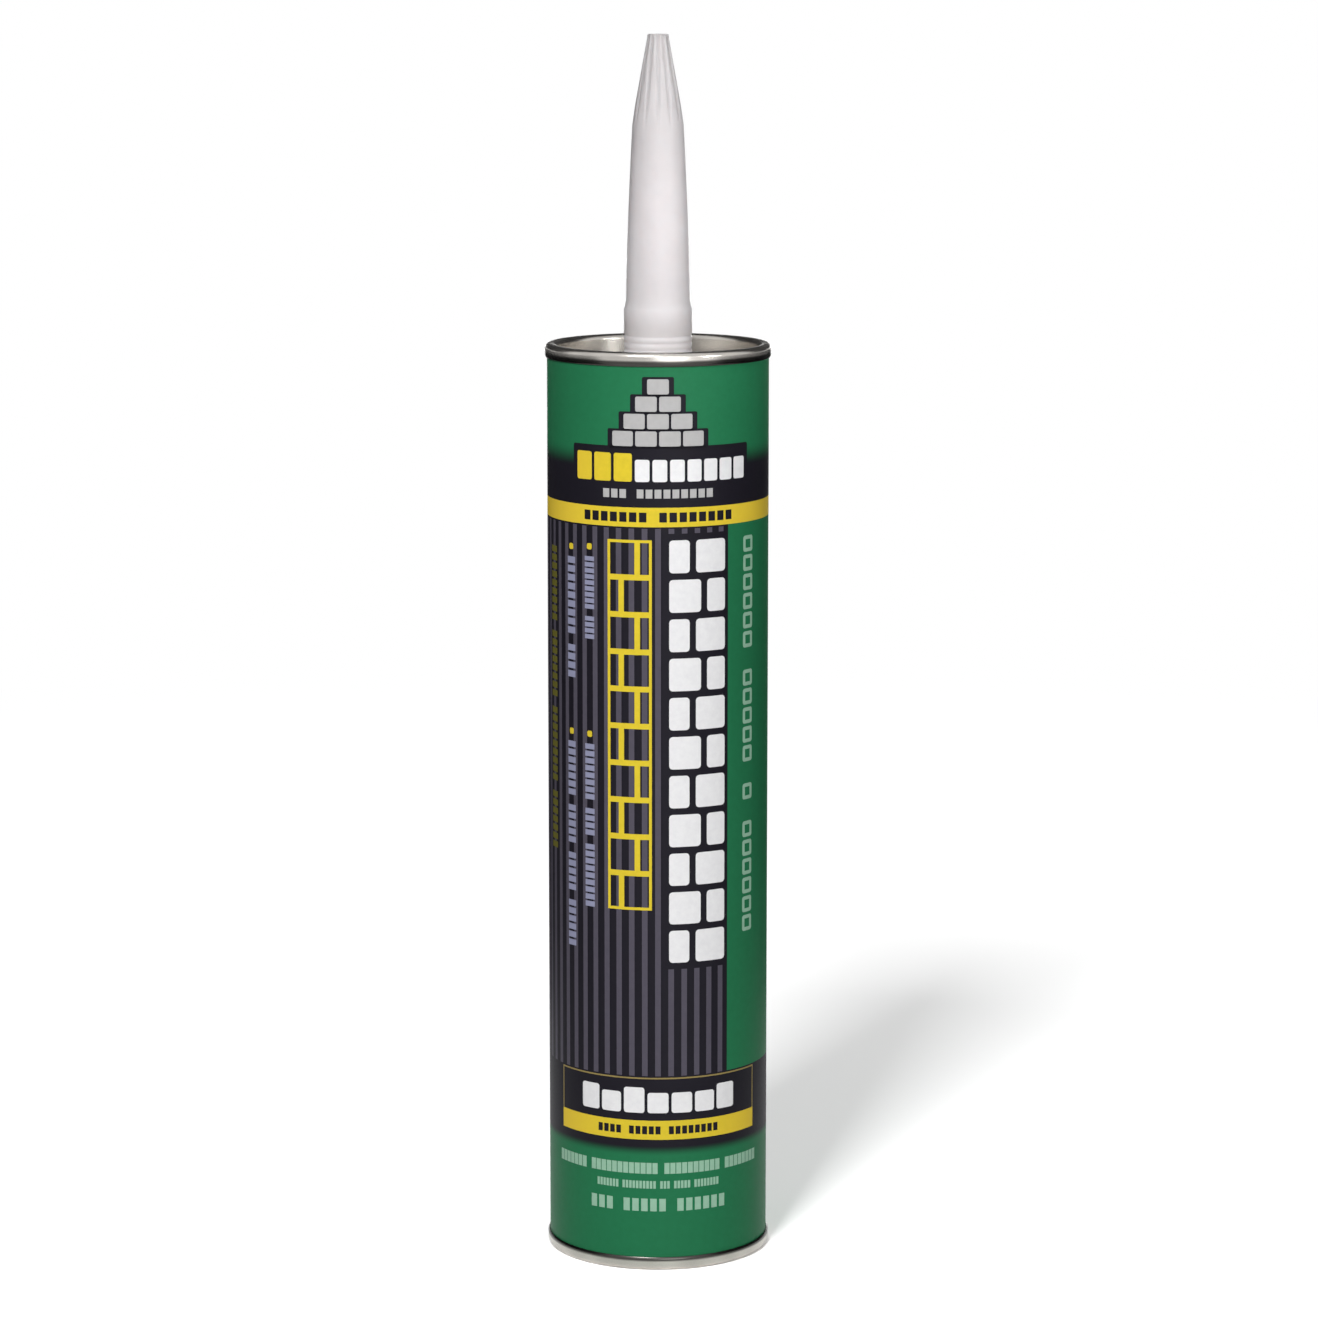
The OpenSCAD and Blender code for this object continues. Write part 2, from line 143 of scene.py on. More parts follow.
class CartridgeColours(bpy.types.PropertyGroup):
    """Colours of the print and the materials."""

    green: colour("Green", "Main green of the label", "26784F")
    dark: colour("Dark", "Dark fields of the label", "1C1A22")
    stripe: colour("Stripe", "Light stripes on the dark panel", "57535F")
    yellow: colour("Yellow", "Yellow band and drawing", "E9CF38")
    # Painted light: the yellow is made lighter and warmer towards the label's sides
    side_light_yellow: colour("Amber", "The same yellow towards the label's sides", "F8D642")
    gold: colour("Gold line", "Fine frame round the name plate", "9C8A55")
    white: colour("White", "Unprinted paper", "F8F7FA")
    pale: colour("Pale green", "Pale blocks on green", "9FC9AF")
    grey: colour("Grey", "Grey blocks at the head", "BDBCBC")
    violet: colour("Blue grey", "Small print on the dark panel", "9A9CB8")
    olive: colour("Olive", "Dim small print at the panel's left", "6E6A2C")
    steel: colour("Steel", "Tinplate of the rims", "BDB9B3")
    nozzle: colour("Nozzle", "Natural polyethylene", "E6DFE1")
    # Greyer tone that the nozzle turns to from GREYER_ABOVE up to its tip
    nozzle_tip: colour("Nozzle tip", "The same plastic, greyer where it is solid", "CBC7C8")
    piston: colour("Piston", "Moulded polyethylene of the piston", "E0E0DB")
    board: colour("Board", "Wound kraft board", "B8976B")
    paste: colour("Paste", "The adhesive", "C8B48A")
    foil: colour("Foil", "Foil seal", "D0D2D4")


def add_node(tree, kind, inputs=None, **settings):
    """Adds one shader node and gives its outputs; an input is a value, or a socket to link from."""
    node = tree.nodes.new("ShaderNode" + kind)
    for name, value in settings.items():
        setattr(node, name, value)
    for key, value in (inputs or {}).items():
        if isinstance(value, bpy.types.NodeSocket):
            tree.links.new(value, node.inputs[key])
        else:
            node.inputs[key].default_value = value
    return node.outputs


def new_material(name, **values):
    """A material whose shader has these plain values, what adds its nodes, and the object's coordinates."""
    material = bpy.data.materials.new(name)
    material.use_nodes = True
    tree = material.node_tree
    shader = tree.nodes["Principled BSDF"]
    for key, value in values.items():
        shader.inputs[key.replace("_", " ")].default_value = value
    add = functools.partial(add_node, tree)
    return material, add, add("TexCoord")["Object"]


def finished(material, **links):
    """The same material, with sockets of its tree linked to its shader."""
    tree = material.node_tree
    for key, socket in links.items():
        tree.links.new(socket, tree.nodes["Principled BSDF"].inputs[key.replace("_", " ")])
    return material


def opaque(rgb):
    """A colour with full alpha, as shader sockets want it."""
    return (*rgb, 1.0)


def shade(rgb, share):
    """The same colour, lighter or darker."""
    return opaque([min(1.0, channel * share) for channel in rgb])


def soft_step(add, value, start, end):
    """0 where a value is at its start, 1 where it is at its end, and soft between them."""
    return add(
        "MapRange", {"Value": value, "From Min": start, "From Max": end}, interpolation_type="SMOOTHSTEP"
    )["Result"]


def blend(add, share, first, second):
    """The first colour, turned into the second by a share."""
    return add("Mix", {0: share, 6: first, 7: second}, data_type="RGBA")[2]


def noise(add, place, size, detail, **more):
    """Soft noise whose waves have this size in metres."""
    return add("TexNoise", {"Vector": place, "Scale": 1 / size, "Detail": detail, **more})["Fac"]


def relief(add, height, strength, depth, under=None, **settings):
    """A surface that rises with a height, to a depth in metres, over the relief under it."""
    inputs = {"Height": height, "Strength": strength, "Distance": depth}
    if under:
        inputs["Normal"] = under
    return add("Bump", inputs, **settings)["Normal"]


# How far the edge of a wound ply climbs in one turn, and how wide it shows on the label and in the board
PLY_PITCH = 78 * MM
LABEL_SEAM = 1.6 * MM
BOARD_SEAM = 0.8 * MM


def spiral_seam(add, parts, width):
    """A line that winds round the tube, as the edge of a wound ply does: 1 on the seam, 0 away from it."""
    bearing = add("Math", {0: parts["Y"], 1: parts["X"]}, operation="ARCTAN2")[0]
    turns = add("Math", {0: bearing, 1: 1 / FULL_TURN}, operation="MULTIPLY")[0]
    value = add("Math", {0: parts["Z"], 1: 1 / PLY_PITCH, 2: turns}, operation="MULTIPLY_ADD")[0]
    for operation, other in (("FRACT", 0.0), ("SUBTRACT", 0.5), ("ABSOLUTE", 0.0)):
        value = add("Math", {0: value, 1: other}, operation=operation)[0]
    return soft_step(add, value, width / PLY_PITCH, 0.0)


MOTTLE_SIZE = 1.4 * MM
FIBRE_SIZE = 0.45 * MM
# Distances from the middle between which an ink turns into a lighter, warmer tone at the label's sides,
# painted light
SIDE_LIGHT_NEAR = 8 * MM
SIDE_LIGHT_FAR = 24 * MM


def printed_paper(name, ink, fade_to=None, fades=(), side_ink=None):
    """Coated label paper, offset printed and varnished: an even ink with faint press mottle and a satin film,
    over which the edge of the wound ply below shows as a soft ridge. Fibres are drawn coarser than real.
    A fade turns one ink into another between two heights, and side_ink, a painted light tone, shows towards
    the label's sides."""
    material, add, place = new_material(name, IOR=1.48, Specular_IOR_Level=0.1)
    parts = add("SeparateXYZ", {0: place})
    mottle = noise(add, place, MOTTLE_SIZE, 3.0, Roughness=0.6)
    body = blend(add, mottle, shade(ink, 0.9), shade(ink, 1.1))
    blends = [(parts["Z"], own_end, far_end, fade_to) for own_end, far_end in fades]
    # Painted light: towards the label's sides the ink turns into a lighter, warmer tone
    if side_ink is not None:
        aside = add("Math", {0: parts["X"]}, operation="ABSOLUTE")[0]
        blends.append((aside, SIDE_LIGHT_NEAR, SIDE_LIGHT_FAR, side_ink))
    for value, own_end, far_end, far_ink in blends:
        body = blend(add, soft_step(add, value, own_end, far_end), body, opaque(far_ink))
    fibres = noise(add, place, FIBRE_SIZE, 2.0)
    gloss = add("MapRange", {"Value": fibres, "To Min": 0.38, "To Max": 0.52})["Result"]
    grain = relief(add, fibres, 0.08, 0.02 * MM)
    seam = spiral_seam(add, parts, LABEL_SEAM)
    ridge = relief(add, seam, 0.25, 0.03 * MM, grain)
    return finished(material, Base_Color=body, Roughness=gloss, Normal=ridge)


KRAFT_FIBRE = 0.7 * MM


def kraft_board(name, tint):
    """Spiral-wound kraft board: brown, matt and fibrous, with the joints of its plies as darker lines."""
    material, add, place = new_material(name, Roughness=0.9, IOR=1.5, Specular_IOR_Level=0.25)
    parts = add("SeparateXYZ", {0: place})
    stretched = add("Mapping", {"Vector": place, "Scale": (1.0, 1.0, 0.35)})["Vector"]
    fibres = noise(add, stretched, KRAFT_FIBRE, 5.0, Roughness=0.65)
    paper = blend(add, fibres, shade(tint, 0.72), shade(tint, 1.2))
    seam = spiral_seam(add, parts, BOARD_SEAM)
    lined = blend(add, seam, paper, shade(tint, 0.4))
    grain = relief(add, fibres, 0.4, 0.05 * MM)
    joint = relief(add, seam, 0.8, 0.15 * MM, grain, invert=True)
    return finished(material, Base_Color=lined, Normal=joint)


DIE_LINE = 0.16 * MM
TARNISH_SIZE = 6 * MM
# Painted shade where each rim's edge meets the label, in mm: radius outside which it falls, heights unshaded
# and full
LIP_SHADE_INSIDE = 25.45
LIP_SHADE_HEIGHTS = ((1.9, 2.5), (210.4, 209.8))


def drawn_tinplate(name, tint):
    """Tin-plated steel sheet, drawn and crimped: bright, with faint tarnish and the die's fine lines round
    it, and painted shade along the edge of each rim that meets the label. The lines are drawn four times as
    coarse as real ones, so that they show."""
    material, add, place = new_material(name, Metallic=1.0, Roughness=0.27)
    parts = add("SeparateXYZ", {0: place})
    flat = add("CombineXYZ", {"X": parts["X"], "Y": parts["Y"]})["Vector"]
    reach = add("VectorMath", {0: flat}, operation="LENGTH")["Value"]
    lathe = add("CombineXYZ", {"X": reach, "Z": parts["Z"]})["Vector"]
    lines = noise(add, lathe, DIE_LINE, 2.0)
    tarnish = noise(add, place, TARNISH_SIZE, 0.0)
    metal = blend(add, tarnish, shade(tint, 0.75), shade(tint, 1.2))
    # Painted shade: the outside of each rim turns dark where its edge meets the label
    lip_shade = add("Math", {0: reach, 1: LIP_SHADE_INSIDE * MM}, operation="GREATER_THAN")[0]
    for unshaded_at, shaded_at in LIP_SHADE_HEIGHTS:
        band = soft_step(add, parts["Z"], unshaded_at * MM, shaded_at * MM)
        lip_shade = add("Math", {0: lip_shade, 1: band}, operation="MULTIPLY")[0]
    lip_shaded = blend(add, lip_shade, metal, shade(tint, 0.12))
    bump = relief(add, lines, 0.05, 0.01 * MM)
    return finished(material, Base_Color=lip_shaded, Normal=bump)


CLOUD_SIZE = 5 * MM
SKIN_SIZE = 0.6 * MM


def polyethylene(name, tint, far_tint, low, high, scatter):
    """Injection-moulded natural polyethylene: milky, waxy and soft to the light, with a faint cloudiness."""
    material, add, place = new_material(
        name, Roughness=0.4, IOR=1.51, Specular_IOR_Level=0.35, Subsurface_Weight=scatter,
        Subsurface_Scale=2.5 * MM, Subsurface_Radius=(1.0, 0.92, 0.9),
    )
    height = add("SeparateXYZ", {0: place})["Z"]
    base = blend(add, soft_step(add, height, low, high), opaque(tint), opaque(far_tint))
    cloud = noise(add, place, CLOUD_SIZE, 2.0)
    darker = add("MapRange", {"Value": cloud, "To Min": 0.93, "To Max": 1.04})["Result"]
    clouded = add("VectorMath", {0: base, "Scale": darker}, operation="SCALE")["Vector"]
    bump = relief(add, noise(add, place, SKIN_SIZE, 2.0), 0.08, 0.03 * MM)
    return finished(material, Base_Color=clouded, Normal=bump)


def uneven_surface(name, tint, shares, size, detail, depth, **values):
    """A material whose colour and bump both follow soft unevenness of one size and depth."""
    material, add, place = new_material(name, **values)
    waves = noise(add, place, size, detail)
    low, high = shares
    body = blend(add, waves, shade(tint, low), shade(tint, high))
    return finished(material, Base_Color=body, Normal=relief(add, waves, 0.3, depth))


def thick_paste(name, tint):
    """Solvent adhesive paste: tan, thick and slightly glossy, with soft lumps."""
    return uneven_surface(name, tint, (0.85, 1.1), 4 * MM, 3.0, 0.3 * MM, Roughness=0.35, IOR=1.5)


def rolled_foil(name, tint):
    """Rolled aluminium foil: bright, with soft creases."""
    return uneven_surface(name, tint, (0.85, 1.05), 2 * MM, 4.0, 0.1 * MM, Metallic=1.0, Roughness=0.34)


def place_in_scene(name, data):
    """A new object in the scene."""
    thing = bpy.data.objects.new(name, data)
    bpy.context.scene.collection.objects.link(thing)
    return thing


def mesh_object(maker, name):
    """Turns a bmesh into an object in the scene."""
    mesh = bpy.data.meshes.new(name)
    maker.to_mesh(mesh)
    maker.free()
    return place_in_scene(name, mesh)


def finish_piece(maker, name, material, node=None, body=BODY):
    """Turns a bmesh into a piece that rides on its body, smooth except at its sharp edges."""
    for face in maker.faces:
        face.smooth = True
    for edge in maker.edges:
        edge.smooth = edge.calc_face_angle(0.0) < SHARP_ANGLE
    piece = mesh_object(maker, name)
    piece.data.materials.append(material)
    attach(piece, body)
    if node:
        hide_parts(node)
    return piece


def finish_print(maker, name, paper, ink, slot, node=None, **blends):
    """Finishes a field of print in one ink on the label's paper."""
    finish_piece(maker, name, printed_paper("label_paper_" + paper, ink, **blends), node)


def join(maker, part):
    """Adds a finished part's mesh to a piece in the making."""
    carrier = bpy.data.meshes.new("carrier")
    part.to_mesh(carrier)
    part.free()
    maker.from_mesh(carrier)
    bpy.data.meshes.remove(carrier)


def wire(points, closed=False):
    """A bmesh with a chain of edges through points of radius and height, in metres."""
    maker = bmesh.new()
    verts = [maker.verts.new((radius, 0, height)) for radius, height in points]
    for pair in zip(verts, verts[1:]):
        maker.edges.new(pair)
    if closed:
        maker.edges.new((verts[-1], verts[0]))
    return maker


def spin(maker, angle, steps, closed):
    """Spins a wire round the cartridge's axis."""
    bmesh.ops.spin(
        maker, geom=maker.verts[:] + maker.edges[:], cent=(0, 0, 0), axis=(0, 0, 1), dvec=(0, 0, 0),
        angle=angle, steps=steps, use_merge=closed, use_normal_flip=False, use_duplicate=False,
    )


def turn_round(maker, steps=ROUND_STEPS):
    """Spins a wire right round and closes its seam and poles."""
    spin(maker, FULL_TURN, steps, True)
    bmesh.ops.remove_doubles(maker, verts=maker.verts[:], dist=WELD)
    bmesh.ops.recalc_face_normals(maker, faces=maker.faces[:])


def lathed(points, closed=False, steps=ROUND_STEPS):
    """A turned shape, from its outline in metres."""
    maker = wire(points, closed)
    turn_round(maker, steps)
    return maker


def lathe_ring(inner, outer, foot, top):
    """A plain ring, closed all round."""
    return lathed([(inner, foot), (outer, foot), (outer, top), (inner, top)], closed=True)


def corner_turn(before, corner, after):
    """The angle by which a path turns at a corner."""
    first = math.atan2(corner[1] - before[1], corner[0] - before[0])
    second = math.atan2(after[1] - corner[1], after[0] - corner[0])
    return abs(math.remainder(second - first, FULL_TURN))


def bent_sheet(path):
    """The middle of a steel sheet, from radius, height and bend radius in mm, bent and turned round."""
    maker = wire([(radius * MM, height * MM) for radius, height, bend in path])
    verts = maker.verts[:]
    for index in range(1, len(path) - 1):
        bend = path[index][2] * MM
        sweep = corner_turn(path[index - 1], path[index], path[index + 1])
        bmesh.ops.bevel(
            maker, geom=[verts[index]], offset=bend * math.tan(sweep / 2), offset_type="OFFSET",
            segments=max(2, math.ceil(sweep / BEND_SEGMENT)), profile=0.5, affect="VERTICES", material=-1,
        )
    turn_round(maker)
    return maker


def break_edges(piece, width):
    """Rounds a piece's sharp edges a little."""
    edge = piece.modifiers.new("edge", "BEVEL")
    edge.width = width
    edge.segments = 2
    edge.limit_method = "ANGLE"
    edge.angle_limit = EDGE_ANGLE


class CARTRIDGE_OT_board_tube(bpy.types.Operator):
    """Builds the spiral-wound board tube."""

    bl_idname = "cartridge.board_tube"
    bl_label = "Board tube"

    def execute(self, context):
        sizes = context.scene.cartridge_sizes
        maker = lathe_ring(sizes.bore_r, sizes.board_r, sizes.tube_end, sizes.body_h - sizes.tube_end)
        board = kraft_board("spiral_wound_kraft_board", context.scene.cartridge_colours.board)
        finish_piece(maker, "board_tube", board, "tube")
        return {"FINISHED"}


# Corners of the steel ends, as radius, height and bend radius in mm, at the middle of the sheet
SEAM_LEG_IN = 23.37
SEAM_LEG_OUT = 25.75
LIP_R = 25.55
BOTTOM_RING_PATH = [
    (SEAM_LEG_IN, 5.2, 0),
    (SEAM_LEG_IN, 0.15, 1.0),
    (SEAM_LEG_OUT, 0.15, 1.0),
    (SEAM_LEG_OUT, 2.6, 0.3),
    (LIP_R, 3.1, 0),
]
TOP_END_PATH = [
    (7.83, 209.15, 0),
    (10.98, 209.15, 0.5),
    (11.68, 207.85, 0.5),
    (15.57, 207.85, 0.5),
    (16.17, 208.45, 0.5),
    (17.77, 208.45, 0.5),
    (18.37, 207.85, 0.5),
    (20.37, 207.85, 0.5),
    (20.97, 206.95, 0.5),
    (SEAM_LEG_IN, 206.95, 0.5),
    (SEAM_LEG_IN, 211.85, 1.0),
    (SEAM_LEG_OUT, 211.85, 1.0),
    (SEAM_LEG_OUT, 209.4, 0.3),
    (LIP_R, 208.9, 0),
]
STEEL_ENDS = (
    ("stamped_top_end", TOP_END_PATH, "top_end"),
    ("curled_bottom_ring", BOTTOM_RING_PATH, "bottom_ring"),
)
CUT_EDGE = 0.06 * MM


class CARTRIDGE_OT_steel_ends(bpy.types.Operator):
    """Builds the stamped top end and the curled bottom ring, crimped over the tube's ends."""

    bl_idname = "cartridge.steel_ends"
    bl_label = "Steel ends"

    def execute(self, context):
        tin = drawn_tinplate("drawn_tinplate", context.scene.cartridge_colours.steel)
        for name, path, node in STEEL_ENDS:
            piece = finish_piece(bent_sheet(path), name, tin, node)
            wall = piece.modifiers.new("sheet", "SOLIDIFY")
            wall.thickness = context.scene.cartridge_sizes.sheet_t
            wall.offset = 0
            wall.use_even_offset = True
            break_edges(piece, CUT_EDGE)
        return {"FINISHED"}


# Heights and radii of the nozzle, in mm
COLLAR_TOP = 220.0
COLLAR_EDGE = (0.1, 0.3)
CHAMFER_TOP = 221.6
TAPER_R = 7.3
SHOULDER_R = 5.85
SHOULDER_Z = 261.3
TAPER_POWER = 1.4
TAPER_ROWS = 20
KNEE = (5.2, 266.0)
NECK = (2.65, 280.2)
TIP_ROWS = 9
TIP_EDGE = 0.25
TIP_BEND = 0.08
TIP_R = 2.5
CHANNEL_TOP = 279.6
FLANGE_EDGE = 0.15
GROOVES = (210.8, 212.3, 213.8)
GROOVE_R = 0.5
GROOVE_DEPTH = 0.18
FLUTE_R = 1.0
FLUTE_START = 2.0
# The plastic turns greyer from this height in metres up to the tip
GREYER_ABOVE = 0.235


def between(start, end, rows):
    """Points from start towards end, without the last one."""
    return [
        tuple(start[axis] + (end[axis] - start[axis]) * row / rows for axis in (0, 1)) for row in range(rows)
    ]


def groove_points(wall, height):
    """A shallow round groove in the collar, from below to above."""
    centre = wall - GROOVE_DEPTH + GROOVE_R
    half = math.acos((centre - wall) / GROOVE_R)
    turns = [half * share for share in (-1.0, -0.5, 0.0, 0.5, 1.0)]
    return [(centre - GROOVE_R * math.cos(turn), height + GROOVE_R * math.sin(turn)) for turn in turns]


def nozzle_outside(collar):
    """The nozzle's outside above its flange, from the collar to the tip, in mm."""
    points = []
    for height in GROOVES:
        points += groove_points(collar, height)
    points += [(collar, COLLAR_TOP - COLLAR_EDGE[1]), (collar - COLLAR_EDGE[0], COLLAR_TOP)]
    for row in range(TAPER_ROWS):
        share = row / TAPER_ROWS
        radius = TAPER_R - (TAPER_R - SHOULDER_R) * share ** TAPER_POWER
        points.append((radius, CHAMFER_TOP + (SHOULDER_Z - CHAMFER_TOP) * share))
    points += between((SHOULDER_R, SHOULDER_Z), KNEE, TIP_ROWS)
    points += between(KNEE, NECK, 2 * TIP_ROWS)
    return points + [NECK]


def cut_flutes(maker, sizes):
    """Moves the tip's skin in to the round of each flute's cutter, which leans with the tip."""
    lean = (KNEE[0] - NECK[0]) / (NECK[1] - KNEE[1])
    pitch = FULL_TURN / sizes.flute_count
    cutter = FLUTE_R * MM
    wall = sizes.nozzle_wall / 2
    foot = (SHOULDER_Z - FLUTE_START) * MM
    top = sizes.tip_z - TIP_EDGE * MM
    for vert in maker.verts:
        radius = math.hypot(vert.co.x, vert.co.y)
        drop = NECK[1] * MM - vert.co.z
        axis = NECK[0] * MM + cutter - sizes.flute_depth + drop * lean
        off = math.remainder(math.atan2(vert.co.y, vert.co.x), pitch)
        reach = cutter ** 2 - (axis * math.sin(off)) ** 2
        if reach <= 0 or vert.co.z < foot or vert.co.z > top:
            continue
        skin = axis * math.cos(off) - math.sqrt(reach)
        if skin < radius < skin + wall:
            vert.co.x *= skin / radius
            vert.co.y *= skin / radius


class CARTRIDGE_OT_nozzle(bpy.types.Operator):
    """Builds the hollow nozzle with its flange, rings, taper and fluted tip, and finishes the foil."""

    bl_idname = "cartridge.nozzle"
    bl_label = "Nozzle and foil"

    def execute(self, context):
        sizes = context.scene.cartridge_sizes
        colours = context.scene.cartridge_colours
        collar = sizes.collar_r / MM
        wall = sizes.nozzle_wall / MM
        foot = sizes.flange_foot / MM
        tip = sizes.tip_z / MM
        rim = sizes.flange_r / MM
        top = TOP_END_PATH[0][1] - sizes.sheet_t / MM / 2
        outline = [
            (0.0, CHANNEL_TOP), (NECK[0] - wall, CHANNEL_TOP), (KNEE[0] - wall, KNEE[1]),
            (SHOULDER_R - wall, SHOULDER_Z), (TAPER_R - wall, CHAMFER_TOP), (collar - wall, COLLAR_TOP),
            (collar - wall, foot), (rim - FLANGE_EDGE, foot), (rim, foot + FLANGE_EDGE),
            (rim, top - FLANGE_EDGE), (rim - FLANGE_EDGE, top), (collar, top),
        ]
        outline += nozzle_outside(collar)
        outline += [
            (TIP_R, tip - TIP_EDGE), (TIP_R - TIP_BEND, tip - TIP_BEND), (TIP_R - TIP_EDGE, tip), (0.0, tip),
        ]
        maker = lathed([(radius * MM, height * MM) for radius, height in outline], steps=NOZZLE_STEPS)
        cut_flutes(maker, sizes)
        plastic = polyethylene(
            "natural_polyethylene", colours.nozzle, colours.nozzle_tip, GREYER_ABOVE, sizes.tip_z, 1.0
        )
        finish_piece(maker, "moulded_nozzle", plastic, "nozzle")
        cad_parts["foil_seal"].material_slots[0].material = rolled_foil("rolled_foil", colours.foil)
        return {"FINISHED"}


# Outline of the piston above its skirt's edge, and its ribs and hub, in mm
PISTON_OUTLINE = [
    (0, 21.1), (20.3, 21.1), (21.4, 20.65), (21.9, 19.5), (21.9, 0.15), (22.05, 0), (23.0, 0), (23.45, 0.45),
    (23.45, 2.15), (23.0, 2.6), (23.0, 18.9), (23.45, 19.35), (23.45, 21.5), (23.2, 22.1), (22.45, 22.5),
    (0, 22.5),
]
RIB_IN = 3.3
RIB_OUT = 22.45
RIB_T = 1.2
RIB_FOOT = 13.5
CROWN_MID = 21.8
HUB_OUTLINE = [(3.2, 11.5), (5.0, 11.5), (5.0, CROWN_MID), (3.2, CROWN_MID)]
MOULDED_EDGE = 0.12 * MM


class CARTRIDGE_OT_piston(bpy.types.Operator):
    """Builds the moulded piston with its wiper bands, hub and ribs."""

    bl_idname = "cartridge.piston"
    bl_label = "Piston"

    def execute(self, context):
        sizes = context.scene.cartridge_sizes
        white = context.scene.cartridge_colours.piston
        lift = sizes.piston_z
        maker = bmesh.new()
        for outline in (PISTON_OUTLINE, HUB_OUTLINE):
            points = [(radius * MM, height * MM + lift) for radius, height in outline]
            join(maker, lathed(points, closed=outline is HUB_OUTLINE))
        size = ((RIB_OUT - RIB_IN) * MM, RIB_T * MM, (CROWN_MID - RIB_FOOT) * MM)
        middle = ((RIB_OUT + RIB_IN) / 2 * MM, 0, (CROWN_MID + RIB_FOOT) / 2 * MM + lift)
        for count in range(sizes.rib_count):
            turn = Matrix.Rotation(count * FULL_TURN / sizes.rib_count, 3, "Z")
            rib = bmesh.new()
            bmesh.ops.create_cube(rib, size=1.0)
            bmesh.ops.scale(rib, verts=rib.verts[:], vec=size)
            bmesh.ops.translate(rib, verts=rib.verts[:], vec=middle)
            bmesh.ops.rotate(rib, verts=rib.verts[:], cent=(0, 0, 0), matrix=turn)
            join(maker, rib)
        plastic = polyethylene("moulded_polyethylene", white, white, 0.0, 0.1, 0.4)
        piece = finish_piece(maker, "moulded_piston", plastic, "piston", PLUNGER)
        break_edges(piece, MOULDED_EDGE)
        return {"FINISHED"}


class CARTRIDGE_OT_fill(bpy.types.Operator):
    """Builds the adhesive, which the piston drives out through the nozzle."""

    bl_idname = "cartridge.fill"
    bl_label = "Adhesive"

    def execute(self, context):
        sizes = context.scene.cartridge_sizes
        foot = sizes.fill_foot
        top = sizes.fill_top
        maker = lathed([(0, foot), (sizes.fill_r, foot), (sizes.fill_r, top), (0, top)])
        paste = thick_paste("adhesive_paste", context.scene.cartridge_colours.paste)
        piece = finish_piece(maker, "adhesive_fill", paste, "adhesive")
        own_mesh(piece)
        return {"FINISHED"}


# The print is drawn flat, in mm along the surface from the front of the label and mm above the foot
SURFACE_R = 25.4
SUNK = 0.05
# Ink under the face of a field, in layers
KEY_LAYERS = 1.5
STRIPE_LAYERS = 2
TOP_LAYERS = 2.5
ROW_LAYERS = 4


def arc(degrees):
    """Distance along the label's surface, in mm, of an angle from its front."""
    return math.radians(degrees) * SURFACE_R


def add_block(maker, left, right, foot, top, level, corner=0.0, line=0.0):
    """One closed block of ink between two arcs and two heights in mm, bent round the tube at its level.
    A line leaves only the block's outline, that wide."""
    block = bmesh.new()
    corners = ((left, foot), (right, foot), (right, top), (left, top))
    block.faces.new([block.verts.new((x * MM, 0, z * MM)) for x, z in corners])
    if corner > 0:
        bmesh.ops.bevel(
            block, geom=block.verts[:], offset=corner * MM, offset_type="OFFSET", segments=CORNER_SEGMENTS,
            profile=0.5, affect="VERTICES", material=-1,
        )
    if line > 0:
        face = block.faces[:][0]
        face.normal_update()
        bmesh.ops.inset_region(
            block, faces=[face], thickness=line * MM, use_boundary=True, use_even_offset=True
        )
        bmesh.ops.delete(block, geom=[face], context="FACES")
    strip = SURFACE_R * MM * FULL_TURN / ROUND_STEPS
    for count in range(math.floor(left * MM / strip) + 1, math.ceil(right * MM / strip)):
        bmesh.ops.bisect_plane(
            block, geom=block.verts[:] + block.edges[:] + block.faces[:], dist=WELD,
            plane_co=(count * strip, 0, 0), plane_no=(1, 0, 0),
        )
    grown = bmesh.ops.extrude_face_region(block, geom=block.faces[:])["geom"]
    front = [part for part in grown if isinstance(part, bmesh.types.BMVert)]
    bmesh.ops.translate(block, verts=front, vec=(0, -(SUNK * MM + level), 0))
    bmesh.ops.recalc_face_normals(block, faces=block.faces[:])
    for vert in block.verts:
        bearing = vert.co.x / (SURFACE_R * MM)
        radius = (SURFACE_R - SUNK) * MM - vert.co.y
        vert.co = (radius * math.sin(bearing), -radius * math.cos(bearing), vert.co.z)
    join(maker, block)


def add_row(maker, start, end, low, high, level, groups, upright=False, fill=0.7, corner=0.0, line=0.0):
    """A row of small blocks in groups, along the surface or down the tube."""
    pitch = (end - start) / (sum(groups) + len(groups) - 1)
    place = start
    for group in groups:
        for block in range(group):
            near = place + pitch * (1 - fill) / 2
            far = near + pitch * fill
            if upright:
                add_block(maker, low, high, min(near, far), max(near, far), level, corner, line)
            else:
                add_block(maker, near, far, low, high, level, corner, line)
            place += pitch
        place += pitch


# Edge of the ply's overlap at the back, in mm: half its width, foot, top and height over the ply
OVERLAP = (0.09, 3.4, 208.6, 0.04)


class CARTRIDGE_OT_label_sleeve(bpy.types.Operator):
    """Builds the label's paper ply, green all round, and the edge of its overlap at the back."""

    bl_idname = "cartridge.label_sleeve"
    bl_label = "Label ply"

    def execute(self, context):
        sizes = context.scene.cartridge_sizes
        colours = context.scene.cartridge_colours
        maker = lathe_ring(sizes.sleeve_r, sizes.tube_r, sizes.tube_end, sizes.body_h - sizes.tube_end)
        finish_print(maker, "label_ply", "green_ink", colours.green, "green_print", "label_green")
        half, foot, top, level = OVERLAP
        middle = arc(180)
        overlap = bmesh.new()
        add_block(overlap, middle - half, middle + half, foot, top, level * MM)
        finish_print(overlap, "label_overlap_edge", "cut_edge", colours.pale, "white_print")
        return {"FINISHED"}


